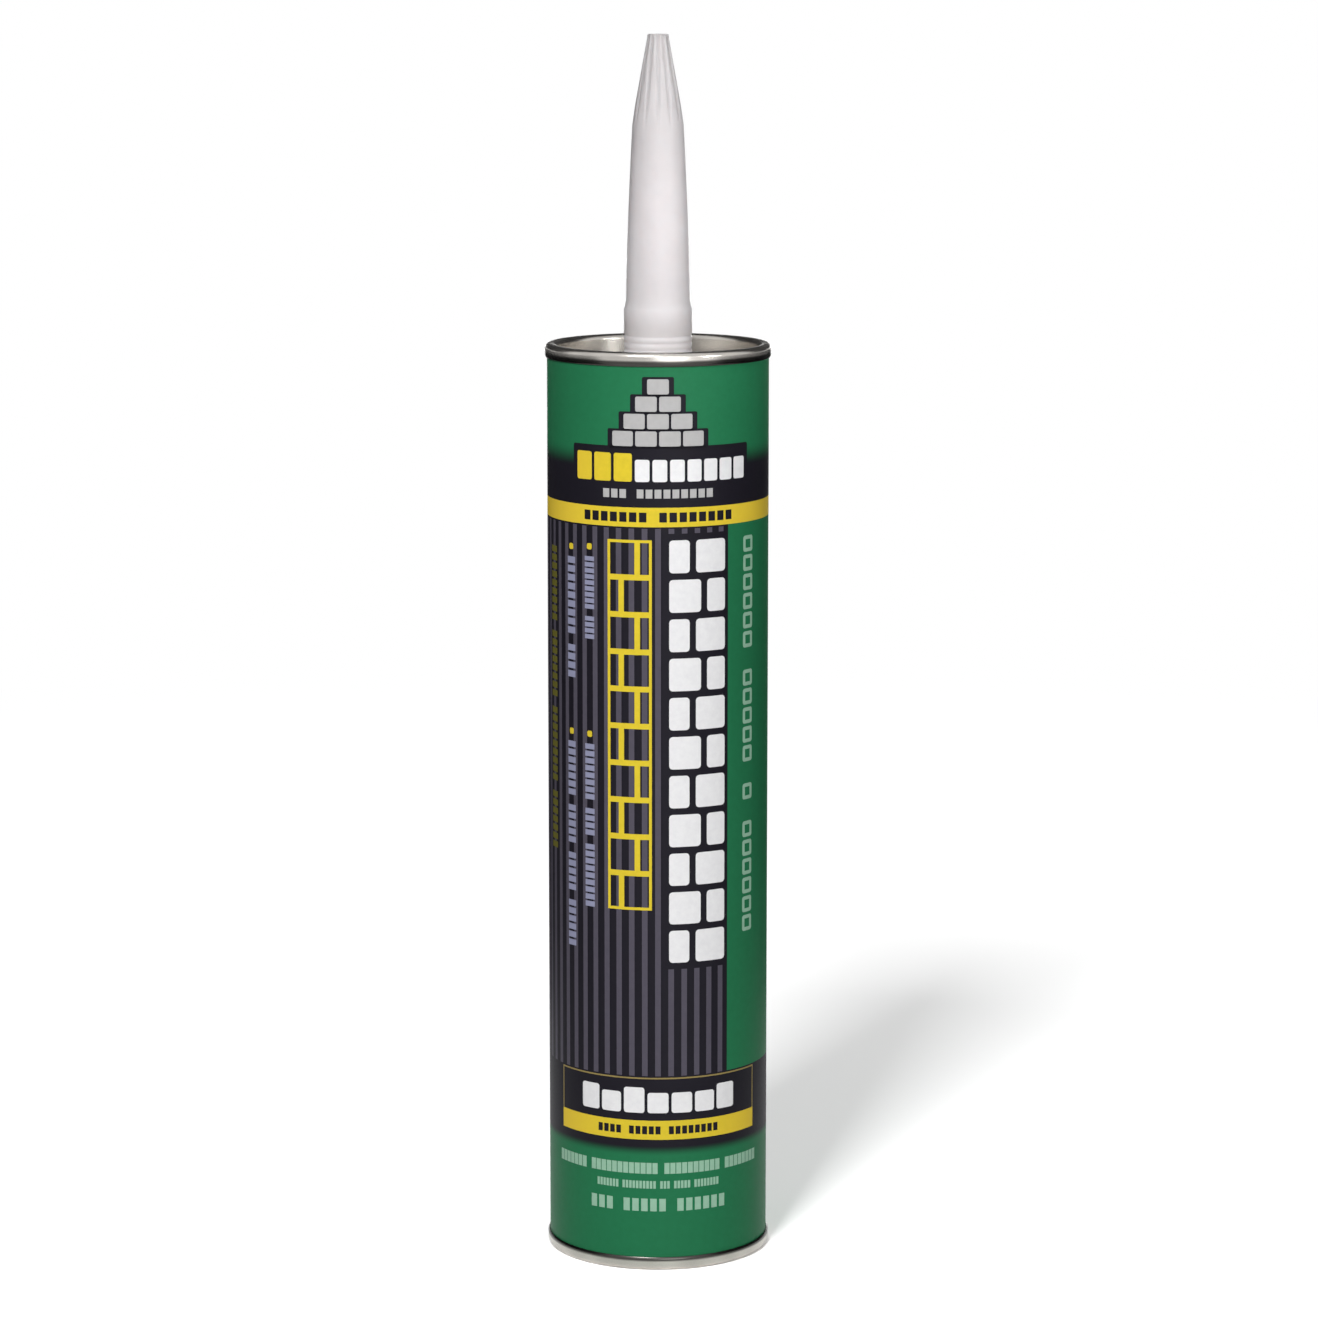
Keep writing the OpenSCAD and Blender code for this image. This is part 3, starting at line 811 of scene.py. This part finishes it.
# Rows and columns of the print, in mm and degrees
HEAD_ROW = {"left": -46.3, "split": -12.5, "right": 50.2, "foot": 183.0, "top": 189.4, "white_top": 188.0}
HEAD_KEY = 0.9
STACK_FOOT = 191.0
STACK_COURSES = 4
STACK_H = 3.4
STACK_GAP = 0.5
STACK_W = 5.4
PLATE_HALF = 59.5
PLATE_FOOT = 31.0
PLATE_STRIP = 35.5
PLATE_TOP = 45.65
GOLD = 0.35
WALL = {"left": -28.0, "right": -1.65, "foot": 84.2, "top": 170.5, "courses": 10, "joint": 0.34, "line": 1.3}
COLUMN = {"left": 5.7, "right": 36.5, "foot": 72.6, "top": 169.8, "courses": 11, "joint": 0.4, "gap": 1.5}


def stack_rows():
    """Half width and foot, in mm, and number of blocks of each course of the grey stack."""
    for course in range(STACK_COURSES):
        count = STACK_COURSES - course
        yield count * STACK_W / 2, STACK_FOOT + course * (STACK_H + STACK_GAP), count


class CARTRIDGE_OT_dark_fields(bpy.types.Operator):
    """Prints the dark bands, the striped panel and the dark ground behind the head's blocks."""

    bl_idname = "cartridge.dark_fields"
    bl_label = "Dark fields and stripes"

    def execute(self, context):
        tube_r = context.scene.cartridge_sizes.tube_r
        layout = context.scene.label_layout
        colours = context.scene.cartridge_colours
        level = layout.ink_t
        soft = layout.fade / 2
        head_fade = (layout.head_top - soft, layout.head_top + soft)
        low_fade = (layout.lower_field_z + soft, layout.lower_field_z)
        bands = bmesh.new()
        for foot, top in ((layout.lower_field_z, layout.dark_top), (layout.head_z, head_fade[1])):
            join(bands, lathe_ring(tube_r - SUNK * MM, tube_r + level, foot, top))
        left = math.degrees(layout.panel_left)
        right = math.degrees(layout.panel_right)
        top = layout.panel_z / MM
        foot = layout.dark_top / MM
        add_block(bands, arc(left), arc(right), foot, top, level)
        finish_print(
            bands, "dark_fields", "dark_ink", colours.dark, "dark_print", "label_dark",
            fade_to=colours.green, fades=(head_fade, low_fade),
        )
        keys = bmesh.new()
        add_block(
            keys, arc(HEAD_ROW["left"]) - HEAD_KEY, arc(HEAD_ROW["right"]) + HEAD_KEY,
            HEAD_ROW["foot"] - HEAD_KEY, STACK_FOOT, KEY_LAYERS * level, corner=0.5,
        )
        for half, start, _ in stack_rows():
            add_block(
                keys, -half - HEAD_KEY, half + HEAD_KEY, start - STACK_GAP, start + STACK_H + STACK_GAP,
                KEY_LAYERS * level, corner=0.4,
            )
        finish_print(keys, "dark_keys", "key_ink", colours.dark, "dark_print")
        stripes = bmesh.new()
        step = math.degrees(layout.stripe_step)
        half = math.degrees(layout.stripe_width) / 2
        edge = COLUMN["gap"]
        ground = (arc(COLUMN["left"]) - edge, arc(COLUMN["right"]) + edge)
        whole = ((foot, top - GOLD),)
        parted = ((foot, COLUMN["foot"] - edge), (COLUMN["top"] + edge, top - GOLD))
        for count in range(math.ceil((left + half) / step), math.floor((right - half) / step) + 1):
            start = arc(count * step - half)
            end = arc(count * step + half)
            for low, high in whole if end <= ground[0] or start >= ground[1] else parted:
                add_block(stripes, start, end, low, high, STRIPE_LAYERS * level)
        finish_print(stripes, "light_stripes", "stripe_ink", colours.stripe, "stripe_print", "label_stripes")
        return {"FINISHED"}


def laid(field, step):
    """Foot of each course of a laid field, and its joint's distance from the front, in mm."""
    left = arc(field["left"])
    width = arc(field["right"]) - left
    for course in range(field["courses"]):
        share = field["joint"] if course % 2 == 0 else 1 - field["joint"]
        yield field["foot"] + course * step, left + width * share


def add_wall_lines(maker, level):
    """The yellow drawing of a laid wall: an outline round each of its stones."""
    half = WALL["line"] / 2
    step = (WALL["top"] - WALL["foot"] - WALL["line"]) / WALL["courses"]
    for low, joint in laid(WALL, step):
        foot = low + half
        for start, end in ((arc(WALL["left"]) + half, joint), (joint, arc(WALL["right"]) - half)):
            add_block(maker, start, end, foot, foot + step, level, line=half)


class CARTRIDGE_OT_yellow_print(bpy.types.Operator):
    """Prints the yellow band, the wall drawing, the head row's first blocks and the plate's frame."""

    bl_idname = "cartridge.yellow_print"
    bl_label = "Yellow print"

    def execute(self, context):
        tube_r = context.scene.cartridge_sizes.tube_r
        layout = context.scene.label_layout
        colours = context.scene.cartridge_colours
        level = TOP_LAYERS * layout.ink_t
        maker = lathe_ring(tube_r - SUNK * MM, tube_r + layout.ink_t, layout.panel_z, layout.head_z)
        add_wall_lines(maker, level)
        add_row(
            maker, arc(HEAD_ROW["left"]), arc(HEAD_ROW["split"]), HEAD_ROW["foot"], HEAD_ROW["top"], level,
            (3,), fill=0.86, corner=0.5,
        )
        half = arc(PLATE_HALF)
        add_block(maker, -half, half, PLATE_FOOT, PLATE_STRIP, level)
        finish_print(
            maker, "yellow_print", "yellow_ink", colours.yellow, "yellow_print", "label_yellow",
            side_ink=colours.side_light_yellow,
        )
        frame_line = bmesh.new()
        add_block(frame_line, -half, -half + GOLD, PLATE_STRIP, PLATE_TOP, level)
        add_block(frame_line, half - GOLD, half, PLATE_STRIP, PLATE_TOP, level)
        add_block(frame_line, -half + GOLD, half - GOLD, PLATE_TOP - GOLD, PLATE_TOP, level)
        finish_print(frame_line, "plate_frame", "gold_ink", colours.gold, "yellow_print")
        return {"FINISHED"}


# White blocks on the name plate: share of the full height of each, and in mm the foot, height and gap
PLATE_BLOCKS = (1.0, 0.8, 1.0, 0.8, 0.8, 0.8, 1.0)
PLATE_BLOCKS_HALF = 43.7
PLATE_BLOCK_FOOT = 37.3
PLATE_BLOCK_H = 6.0
PLATE_BLOCK_GAP = 0.35


class CARTRIDGE_OT_white_print(bpy.types.Operator):
    """Leaves the column of laid stones, the head row's other blocks and the plate's blocks white."""

    bl_idname = "cartridge.white_print"
    bl_label = "White print"

    def execute(self, context):
        level = TOP_LAYERS * context.scene.label_layout.ink_t
        maker = bmesh.new()
        gap = COLUMN["gap"]
        step = (COLUMN["top"] - COLUMN["foot"] + gap) / COLUMN["courses"]
        for foot, joint in laid(COLUMN, step):
            top = foot + step - gap
            add_block(maker, arc(COLUMN["left"]), joint - gap / 2, foot, top, level, corner=0.8)
            add_block(maker, joint + gap / 2, arc(COLUMN["right"]), foot, top, level, corner=0.8)
        add_row(
            maker, arc(HEAD_ROW["split"]), arc(HEAD_ROW["right"]), HEAD_ROW["foot"], HEAD_ROW["white_top"],
            level, (7,), fill=0.84, corner=0.5,
        )
        half = arc(PLATE_BLOCKS_HALF)
        pitch = 2 * half / len(PLATE_BLOCKS)
        for count, share in enumerate(PLATE_BLOCKS):
            start = -half + count * pitch + PLATE_BLOCK_GAP
            end = -half + (count + 1) * pitch - PLATE_BLOCK_GAP
            top = PLATE_BLOCK_FOOT + PLATE_BLOCK_H * share
            add_block(maker, start, end, PLATE_BLOCK_FOOT, top, level, corner=0.6)
        white = context.scene.cartridge_colours.white
        finish_print(maker, "white_print", "unprinted", white, "white_print", "label_white")
        return {"FINISHED"}


# Outlined blocks beside the panel: top and foot in mm, left and right in degrees, blocks in each group
SIDE_COLUMN = (170.0, 77.6, 49.5, 57.5, (6, 5, 1, 6))
# Pale rows on the lower field: half width in degrees, foot and height in mm, blocks in each group, fill
LOWER_ROWS = (
    (62.0, 22.9, 2.6, (7, 12, 10, 8), 0.86),
    (33.5, 19.4, 1.8, (7, 10, 3, 5, 8), 0.74),
    (37.7, 14.0, 3.0, (3, 5, 6), 0.72),
)
# Rows on the back of the label: blocks in each group
BACK_GROUPS = ((5, 3, 7, 4, 6), (8, 2, 5, 6, 3), (4, 6, 3, 7, 5), (6, 4, 8, 3, 4), (3, 8, 5, 2, 6))
BACK_COLUMNS = ((108.0, 172.0), (188.0, 252.0))
BACK_TOP = 166.0
BACK_ROW = 3.3
BACK_ROWS = 30
BACK_BLOCK_H = 1.5
BACK_SECTION = 8


class CARTRIDGE_OT_pale_print(bpy.types.Operator):
    """Prints the pale outlined blocks beside the panel and the pale rows on green."""

    bl_idname = "cartridge.pale_print"
    bl_label = "Pale print"

    def execute(self, context):
        level = context.scene.label_layout.ink_t
        maker = bmesh.new()
        top, foot, left, right, groups = SIDE_COLUMN
        add_row(
            maker, top, foot, arc(left), arc(right), level, groups, upright=True, fill=0.84, corner=0.6,
            line=0.85,
        )
        for half, foot, height, groups, fill in LOWER_ROWS:
            add_row(maker, arc(-half), arc(half), foot, foot + height, level, groups, fill=fill)
        pale = printed_paper("label_paper_pale_ink", context.scene.cartridge_colours.pale)
        finish_piece(maker, "pale_print", pale, "label_pale")
        back = bmesh.new()
        for column, (left, right) in enumerate(BACK_COLUMNS):
            for row in range(BACK_ROWS):
                if row % BACK_SECTION == BACK_SECTION - 1:
                    continue
                groups = BACK_GROUPS[(row * 2 + column) % len(BACK_GROUPS)]
                foot = BACK_TOP - row * BACK_ROW
                place = arc(left)
                pitch = arc(right - left) / (sum(groups) + len(groups) - 1)
                for group in groups:
                    add_block(back, place, place + group * pitch, foot, foot + BACK_BLOCK_H, level)
                    place += (group + 1) * pitch
        finish_piece(back, "back_rows", pale)
        return {"FINISHED"}


# Lines of small print down the panel: left and right in degrees, top and foot in mm, blocks in each group
VIOLET_LINES = (
    (-40.6, -34.6, 168.5, 146.5, (9, 4)),
    (-40.6, -34.6, 125.5, 84.5, (8, 4, 9)),
    (-53.6, -47.6, 168.0, 137.0, (9, 4)),
    (-53.6, -47.6, 125.5, 74.5, (7, 5, 5, 6)),
)
OLIVE_LINE = (-72.0, -65.0, 166.8, 96.1, (9, 8, 9, 7))
BULLET = 1.4
# Thin rows: half width in degrees, foot and top in mm, blocks in each group, layers of ink
GREY_ROW = (29.5, 179.3, 181.3, (3, 9))
DARK_ROWS = ((41.3, 173.9, 176.1, (7, 8), TOP_LAYERS), (33.0, 32.3, 34.2, (4, 5, 8), ROW_LAYERS))


class CARTRIDGE_OT_small_print(bpy.types.Operator):
    """Prints the grey stack, the thin rows and the lines of small blocks down the panel."""

    bl_idname = "cartridge.small_print"
    bl_label = "Small print"

    def execute(self, context):
        layer = context.scene.label_layout.ink_t
        colours = context.scene.cartridge_colours
        level = TOP_LAYERS * layer
        stack = bmesh.new()
        for half, foot, count in stack_rows():
            add_row(stack, -half, half, foot, foot + STACK_H, level, (count,), fill=0.9, corner=0.4)
        half, foot, top, groups = GREY_ROW
        add_row(stack, arc(-half), arc(half), foot, top, level, groups, fill=0.76)
        finish_print(stack, "grey_print", "grey_ink", colours.grey, "grey_print", "label_grey")
        lines = bmesh.new()
        bullets = bmesh.new()
        for left, right, top, foot, groups in VIOLET_LINES:
            start = top - 2 * BULLET
            add_row(lines, start, foot, arc(left), arc(right), level, groups, upright=True, fill=0.74)
            middle = arc((left + right) / 2)
            add_block(bullets, middle - BULLET / 2, middle + BULLET / 2, top - BULLET, top, level, corner=0.4)
        finish_print(lines, "small_lines", "blue_grey_ink", colours.violet, "grey_print")
        left, right, top, foot, groups = OLIVE_LINE
        dim = bmesh.new()
        add_row(dim, top, foot, arc(left), arc(right), level, groups, upright=True, fill=0.74)
        finish_print(dim, "dim_line", "olive_ink", colours.olive, "yellow_print")
        finish_print(bullets, "yellow_bullets", "bullet_ink", colours.yellow, "yellow_print")
        rows = bmesh.new()
        for half, foot, top, groups, layers in DARK_ROWS:
            add_row(rows, arc(-half), arc(half), foot, top, layers * layer, groups, fill=0.74)
        finish_print(rows, "small_dark_rows", "small_dark_ink", colours.dark, "dark_print")
        return {"FINISHED"}


# The camera stands where it gives both rims the photograph's curves
CAMERA_PLACE = (0.23 * MM, -1.0, 304.24 * MM)
CAMERA_PITCH = 0.16408
CAMERA_LENS = 119.73
SENSOR_WIDTH = 36
FLOOR_HALF = 4.0
FLOOR_DROP = 0.05 * MM
# How white the floor is to the light that falls on it, in metal, and to the camera
FLOOR_LIGHT = 0.55
FLOOR_MIRRORED = 1.5
FLOOR_SEEN = 1.9
FADE_NEAR = 0.25
FADE_FAR = 0.8
WORLD_LIGHT = 0.06
# Dark cards: bearing of each end from +X towards +Y, and radius and height of its profile in metres
SIDE_PROFILE = ((0.24, 0.0), (0.24, 0.205))
HOOD_PROFILE = ((0.24, 0.22), (0.24, 0.34), (0.16, 0.44), (0.02, 0.5))
CARD_STEPS = 16
CARD_BLACK = "202020"
CARDS = (
    ("card_right", math.radians(-32), math.radians(72), SIDE_PROFILE),
    ("card_left", math.radians(108), math.radians(212), SIDE_PROFILE),
    ("card_hood", math.radians(15), math.radians(165), HOOD_PROFILE),
)
# Soft lamps: name, place in metres, size, power in watts
LAMPS = (
    ("key", (-0.31, -0.95, 1.0), 0.26, 9.8),
    ("front", (0.34, -1.33, 0.42), 0.7, 6.4),
    ("back", (0.12, 1.5, 0.4), 1.0, 11.0),
    ("top", (0.0, 0.25, 1.25), 0.7, 1.5),
)
LAMP_TARGET = (0, 0, 0.12)
# A narrow lamp at the right lights the nozzle alone
SPOT_PLACE = (0.55, -0.4, 0.36)
SPOT_TARGET = (0, 0, 0.256)
SPOT_ANGLE = math.radians(13)
SPOT_POWER = 6.5
SPOT_SIZE = 0.05


def seen_directly(add):
    """1 for rays from the camera and for those in metal and glass, which show the white background."""
    path = add("LightPath")
    seen = path["Is Camera Ray"]
    for kind in ("Is Glossy Ray", "Is Transmission Ray"):
        seen = add("Math", {0: seen, 1: path[kind]}, operation="MAXIMUM")[0]
    return seen


def white_floor():
    """Matt white studio floor that keeps the shadow near the object and runs out into the background."""
    material, add, place = new_material("matt_white_floor")
    seen = seen_directly(add)
    mirrored = add("MapRange", {"Value": seen, "To Min": FLOOR_LIGHT, "To Max": FLOOR_MIRRORED})["Result"]
    camera = add("LightPath")["Is Camera Ray"]
    paint = add("Mix", {0: camera, 2: mirrored, 3: FLOOR_SEEN}, data_type="FLOAT")[0]
    matt = add("BsdfDiffuse", {"Color": paint})["BSDF"]
    reach = add("VectorMath", {0: place}, operation="LENGTH")["Value"]
    away = soft_step(add, reach, FADE_NEAR, FADE_FAR)
    share = add("Math", {0: away, 1: seen}, operation="MULTIPLY")[0]
    glow = add("Emission", {"Color": (1, 1, 1, 1), "Strength": 1.0})["Emission"]
    mixed = add("MixShader", {0: share, 1: matt, 2: glow})["Shader"]
    tree = material.node_tree
    tree.links.new(mixed, tree.nodes["Material Output"].inputs["Surface"])
    return material


def stand_card(name, start, end, profile, material):
    """A curved dark card beside the object, seen only in its reflections, as a studio's flags are."""
    maker = wire(profile)
    bmesh.ops.rotate(maker, verts=maker.verts[:], cent=(0, 0, 0), matrix=Matrix.Rotation(start, 3, "Z"))
    spin(maker, end - start, CARD_STEPS, False)
    card = mesh_object(maker, name)
    card.data.materials.append(material)
    for ray in ("camera", "diffuse", "transmission", "volume_scatter", "shadow"):
        setattr(card, "visible_" + ray, False)


def add_lamp(name, kind, place, target, power):
    """A lamp that points from its place to a target."""
    lamp = place_in_scene(name, bpy.data.lights.new(name, kind))
    lamp.data.energy = power
    lamp.location = place
    lamp.rotation_euler = (Vector(target) - Vector(place)).to_track_quat("-Z", "Y").to_euler()
    return lamp.data


class CARTRIDGE_OT_stage(bpy.types.Operator):
    """Sets up the floor, the white surroundings, the lamps and the camera."""

    bl_idname = "cartridge.stage"
    bl_label = "Stage"

    def execute(self, context):
        scene = context.scene
        maker = bmesh.new()
        bmesh.ops.create_grid(maker, x_segments=1, y_segments=1, size=FLOOR_HALF)
        bmesh.ops.translate(maker, verts=maker.verts[:], vec=(0, 0, -FLOOR_DROP))
        floor = mesh_object(maker, "floor")
        floor.data.materials.append(white_floor())
        dark = opaque(linear(CARD_BLACK))
        black = new_material("matt_black_card", Roughness=0.9, Base_Color=dark)[0]
        for card in CARDS:
            stand_card(*card, black)
        world = bpy.data.worlds.new("studio")
        world.use_nodes = True
        tree = world.node_tree
        add = functools.partial(add_node, tree)
        strength = add(
            "MapRange", {"Value": seen_directly(add), "To Min": WORLD_LIGHT, "To Max": 1.0}
        )["Result"]
        tree.nodes["Background"].inputs["Color"].default_value = (1, 1, 1, 1)
        tree.links.new(strength, tree.nodes["Background"].inputs["Strength"])
        scene.world = world
        for name, place, size, power in LAMPS:
            add_lamp(name, "AREA", place, LAMP_TARGET, power).size = size
        spot = add_lamp("nozzle_spot", "SPOT", SPOT_PLACE, SPOT_TARGET, SPOT_POWER)
        spot.spot_size = SPOT_ANGLE
        spot.spot_blend = 1.0
        spot.shadow_soft_size = SPOT_SIZE
        camera = place_in_scene("camera", bpy.data.cameras.new("camera"))
        camera.data.lens = CAMERA_LENS
        camera.data.sensor_width = SENSOR_WIDTH
        camera.location = CAMERA_PLACE
        camera.rotation_euler = (math.pi / 2 - CAMERA_PITCH, 0, 0)
        scene.camera = camera
        scene.view_settings.view_transform = "Standard"
        return {"FINISHED"}


PIECES = (
    CARTRIDGE_OT_board_tube,
    CARTRIDGE_OT_steel_ends,
    CARTRIDGE_OT_nozzle,
    CARTRIDGE_OT_piston,
    CARTRIDGE_OT_fill,
    CARTRIDGE_OT_label_sleeve,
    CARTRIDGE_OT_dark_fields,
    CARTRIDGE_OT_yellow_print,
    CARTRIDGE_OT_white_print,
    CARTRIDGE_OT_pale_print,
    CARTRIDGE_OT_small_print,
    CARTRIDGE_OT_stage,
)


class CARTRIDGE_PT_pieces(bpy.types.Panel):
    """Lists the cartridge's pieces in the 3D view's sidebar."""

    bl_idname = "CARTRIDGE_PT_pieces"
    bl_label = "Adhesive cartridge"
    bl_space_type = "VIEW_3D"
    bl_region_type = "UI"
    bl_category = "Cartridge"

    def draw(self, context):
        for piece in PIECES:
            self.layout.operator(piece.bl_idname)


GROUPS = {
    "cartridge_sizes": CartridgeSizes, "label_layout": LabelLayout, "cartridge_colours": CartridgeColours,
}


def register():
    """Registers the groups, the operators and the panel."""
    for kind in (*GROUPS.values(), *PIECES, CARTRIDGE_PT_pieces):
        bpy.utils.register_class(kind)
    for name, group in GROUPS.items():
        setattr(bpy.types.Scene, name, PointerProperty(type=group))


def unregister():
    """Takes them out again."""
    for name in GROUPS:
        delattr(bpy.types.Scene, name)
    for kind in reversed((*GROUPS.values(), *PIECES, CARTRIDGE_PT_pieces)):
        bpy.utils.unregister_class(kind)


def main():
    """Builds every piece in order."""
    register()
    for piece in PIECES:
        family, name = piece.bl_idname.split(".")
        getattr(getattr(bpy.ops, family), name)()
    bpy.context.view_layer.update()


if __name__ == "__main__":
    main()
